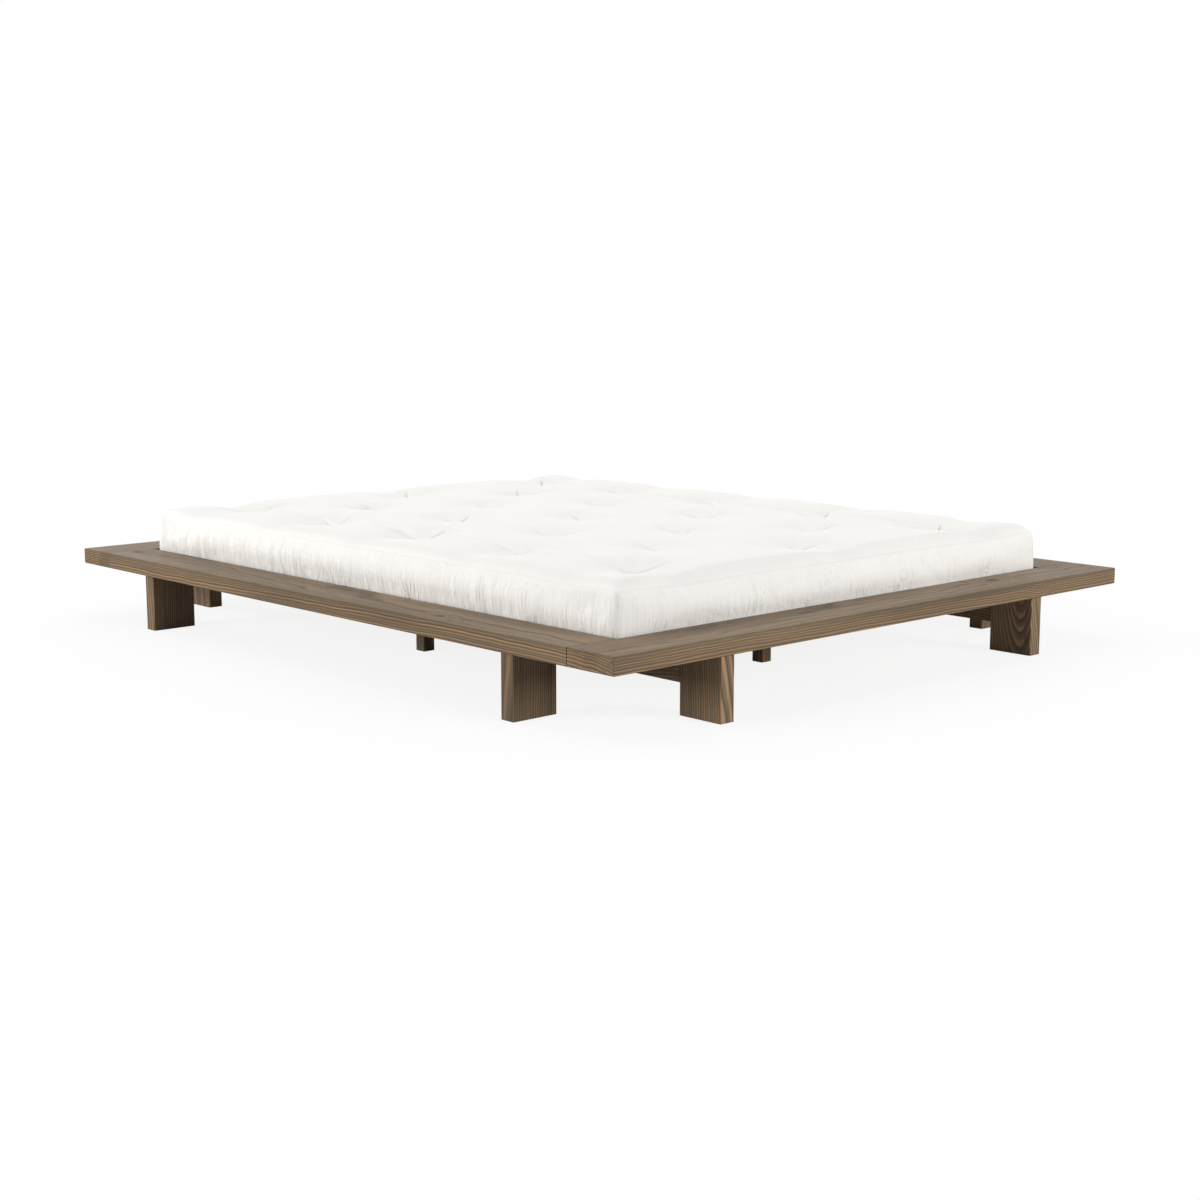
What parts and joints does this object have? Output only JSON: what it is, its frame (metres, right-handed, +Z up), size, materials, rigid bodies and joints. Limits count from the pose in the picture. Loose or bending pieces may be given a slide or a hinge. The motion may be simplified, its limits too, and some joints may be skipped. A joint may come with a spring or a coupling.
{
  "type": "futon bed frame",
  "caption": "Low platform bed of wide stained pine boards on plank legs, with long beams, a centre rail and a slat roll, carrying a tufted futon mattress.",
  "frame": {"origin": "on the floor, under the middle of the bed", "axes": "+X across the bed, +Y along it towards the head end, +Z up"},
  "size_m": [1.9, 2.3, 0.3183],
  "materials": {
    "stained_pine": "satin stain over open pine grain",
    "slat_pine": "planed, unfinished",
    "tenon_beech": "planed, unfinished",
    "zinc_steel": "zinc plated",
    "webbing": "woven tape",
    "cotton_cover": "matt cotton drill"
  },
  "bodies": {
    "frame": {"centre_post_foot": "stained_pine", "centre_post_head": "stained_pine", "centre_post_middle": "stained_pine", "centre_rail": "stained_pine", "corner_tenons": "tenon_beech", "foot_board": "stained_pine", "foot_board_left_leg": "stained_pine", "foot_board_right_leg": "stained_pine", "foot_left_corner_plate": "zinc_steel", "foot_right_corner_plate": "zinc_steel", "head_board": "stained_pine", "head_board_left_leg": "stained_pine", "head_board_right_leg": "stained_pine", "head_left_corner_plate": "zinc_steel", "head_right_corner_plate": "zinc_steel", "left_beam": "stained_pine", "left_beam_post": "stained_pine", "left_side_board": "stained_pine", "left_side_foot_leg": "stained_pine", "left_side_head_leg": "stained_pine", "left_slat_ledge": "stained_pine", "left_slat_tape": "webbing", "leg_bolts": "zinc_steel", "right_beam": "stained_pine", "right_beam_post": "stained_pine", "right_side_board": "stained_pine", "right_side_foot_leg": "stained_pine", "right_side_head_leg": "stained_pine", "right_slat_ledge": "stained_pine", "right_slat_tape": "webbing", "slat_01": "slat_pine", "slat_02": "slat_pine", "slat_03": "slat_pine", "slat_04": "slat_pine", "slat_05": "slat_pine", "slat_06": "slat_pine", "slat_07": "slat_pine", "slat_08": "slat_pine", "slat_09": "slat_pine", "slat_10": "slat_pine", "slat_11": "slat_pine", "slat_12": "slat_pine", "slat_13": "slat_pine", "slat_14": "slat_pine", "slat_15": "slat_pine", "slat_16": "slat_pine"},
    "mattress": {"futon_mattress": "cotton_cover"}
  },
  "joints": [
    {"name": "mattress_lift", "type": "slide", "parent": "frame", "child": "mattress", "axis": [0, 0, 1], "range_m": [0, 0.3]}
  ]
}
